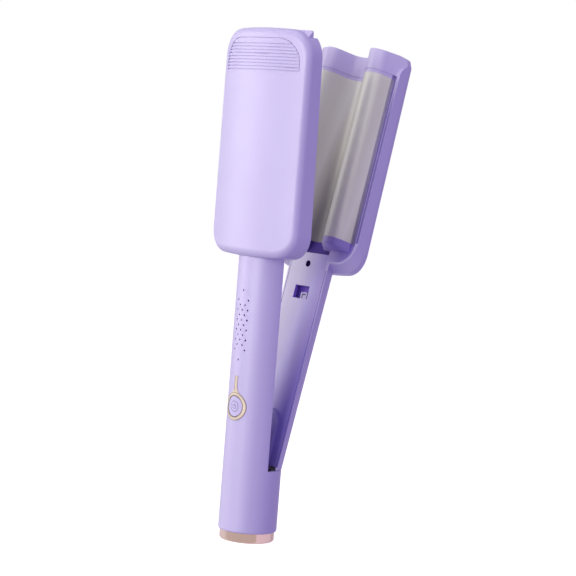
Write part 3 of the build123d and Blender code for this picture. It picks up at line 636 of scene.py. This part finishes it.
# ---- the scene ----
add_camera()
world_light()
for lamp in LAMPS:
    area_light(*lamp)
add_floor()

lavender = moulded_plastic("lavender_shell", LAVENDER)
lavender_inner = moulded_plastic("lavender_inner", LAVENDER)
hinge_painted_shade = moulded_plastic("hinge_painted_shade", HINGE_PAINTED_SHADE)
# the inner cover's colour carries painted light at its upper left and painted shade towards the
# hinge
cover = toned_plastic("lavender_cover_painted_light_and_shade", COVER_PAINTED_LIGHT_AND_SHADE)
painted_shade_indigo = moulded_plastic("indigo_plastic", SHADE_INDIGO, shine=0.15)
seam_plastic = moulded_plastic("lavender_seam", LAVENDER_SEAM)
violet = moulded_plastic("violet_shade", VIOLET, roughness=0.6, shine=0.1)
recess_painted_shade = moulded_plastic("recess_painted_shade", RECESS_PAINTED_SHADE, roughness=0.6, shine=0.1)
window_painted_shade = moulded_plastic("window_painted_shade", WINDOW_PAINTED_SHADE, roughness=0.6, shine=0.2)
# the frame's side rails carry painted shade
frame_painted_shade = toned_plastic("lavender_frame_painted_shade", RAIL_PAINTED_SHADE, both_sides=True)
# rim: painted shade, deepest low down on the rear tray's rims
rim = toned_plastic("lavender_rim_painted_shade", RIM_PAINTED_SHADE)
plates = satin_plate("plate_metal")
# the rear plate's colour carries painted light high up and painted shade in its lower valleys
rear_plate = satin_plate("plate_metal_rear_painted_light_and_shade", REAR_PLATE_PAINTED_LIGHT_AND_SHADE)
rose_gold = plated_metal("rose_gold", ROSE_GOLD, roughness=0.07)
pale_gold = satin_gold("pale_gold")
gold_shade = plated_metal("gold_shade", GOLD_PAINTED_SHADE, roughness=0.4)
steel = plated_metal("steel", STEEL, roughness=0.35)
ceramic = moulded_plastic("ceramic", CERAMIC, roughness=0.6)
board = moulded_plastic("board_green", BOARD_GREEN, roughness=0.35)
black = moulded_plastic("black_plastic", BLACK, roughness=0.5)
grey = moulded_plastic("grey_plastic", GREY, roughness=0.5)
sign = moulded_plastic("sign_grey", SIGN_GREY, roughness=0.4)

dress(lavender, "front_shell", "rear_shell", "power_button")
dress(lavender_inner, "front_tip", "front_inner_cover", "front_guide_hook", "front_plate_frame")
dress(lavender_inner, "rear_window_keeper")
dress(frame_painted_shade, "rear_plate_frame")
dress(cover, "rear_inner_cover")
# the hinge arm's deeper lavender is painted shade
dress(hinge_painted_shade, "rear_hinge_arm")
# the screw is dressed dark indigo as painted shade for its hole
dress(painted_shade_indigo, "rear_cover_screw")
dress(plates, "front_wave_plate", "front_heat_shield", "rear_heat_shield")
dress(rear_plate, "rear_wave_plate")
dress(rose_gold, "base_ring")
dress(pale_gold, "button_bezel")
dress(steel, "front_heater_clip", "rear_heater_clip_left", "rear_heater_clip_right")
dress(steel, "front_cover_screws", "front_thermal_fuse", "rear_thermal_fuse")
dress(steel, "hinge_bracket", "hinge_pin", "hinge_spring")
dress(ceramic, "front_heater", "rear_heater_left", "rear_heater_right")
dress(ceramic, "front_thermistor", "rear_thermistor")
dress(board, "control_board")
dress(black, "tact_switch", "power_triac")
dress(grey, "cord_swivel", "swivel_retainer")

circle = arc(SIGN_RADIUS - SIGN_LINE / 2, 0, 360, CIRCLE_STEPS)
ring = arc(RING_RADIUS - SIGN_LINE / 2, RING_OPENING, 360 - RING_OPENING, RING_STEPS)
bar = [(0.0, RING_RADIUS * height) for height in BAR_HEIGHTS]
for name, line in (("sign_circle", circle), ("sign_ring", ring), ("sign_bar", bar)):
    strip(name, line, SIGN_LINE, sign)
stem = [(STEM_EDGE, height) for height in STEM_HEIGHTS]
stem_shade = strip("stem_shade", stem, STEM_SHADE_WIDTH, gold_shade, STEM_SHADE_PROUD, "front_arm")

arm_plate("window_latch", LATCH, LATCH_DEPTHS, lavender_inner)
# the notch and the gap are dark sheets of painted shade at the latch
arm_plate("latch_notch", NOTCH, NOTCH_DEPTHS, painted_shade_indigo)
arm_plate("latch_gap", rectangle(*LATCH_GAP), LATCH_GAP_DEPTHS, painted_shade_indigo)
# the window's side and liner are violet sheets of painted shade
arm_plate("window_side", rectangle(*WINDOW_SIDE), WINDOW_SIDE_DEPTHS, window_painted_shade)
arm_plate("window_liner", rectangle(*WINDOW_LINER), WINDOW_LINER_DEPTHS, window_painted_shade)
# the recess liner is a dark sheet of painted shade
arm_plate("recess_liner", rectangle(*RECESS_LINER), RECESS_LINER_DEPTHS, recess_painted_shade)
# the well is a dark lining of painted shade inside the screw hole
arm_tube("screw_well", WELL_HEIGHT, WELL_RADIUS, WELL_DEPTHS, painted_shade_indigo)
for side, sign_x in (("left", -1), ("right", 1)):
    # the cover's rims take the same painted light and shade as the cover
    arm_plate("cover_rim_" + side, on_side(COVER_RIM, sign_x), COVER_RIM_DEPTHS, cover)
    arm_plate("cover_seam_" + side, on_side(COVER_SEAM, sign_x), COVER_SEAM_DEPTHS, violet)
    # the tray rims carry painted shade, deepest low down
    arm_plate("tray_rim_" + side, on_side(TRAY_RIM, sign_x), TRAY_RIM_DEPTHS, rim)

wave_seam("tip_seam", TIP_SEAM, seam_plastic)
wave_seam("heel_seam_left", HEEL_SEAM, seam_plastic, beyond=HEEL_INNER, side=-1)
wave_seam("heel_seam_right", HEEL_SEAM, seam_plastic, beyond=HEEL_INNER, side=1)

bpy.context.scene.view_settings.view_transform = "Standard"
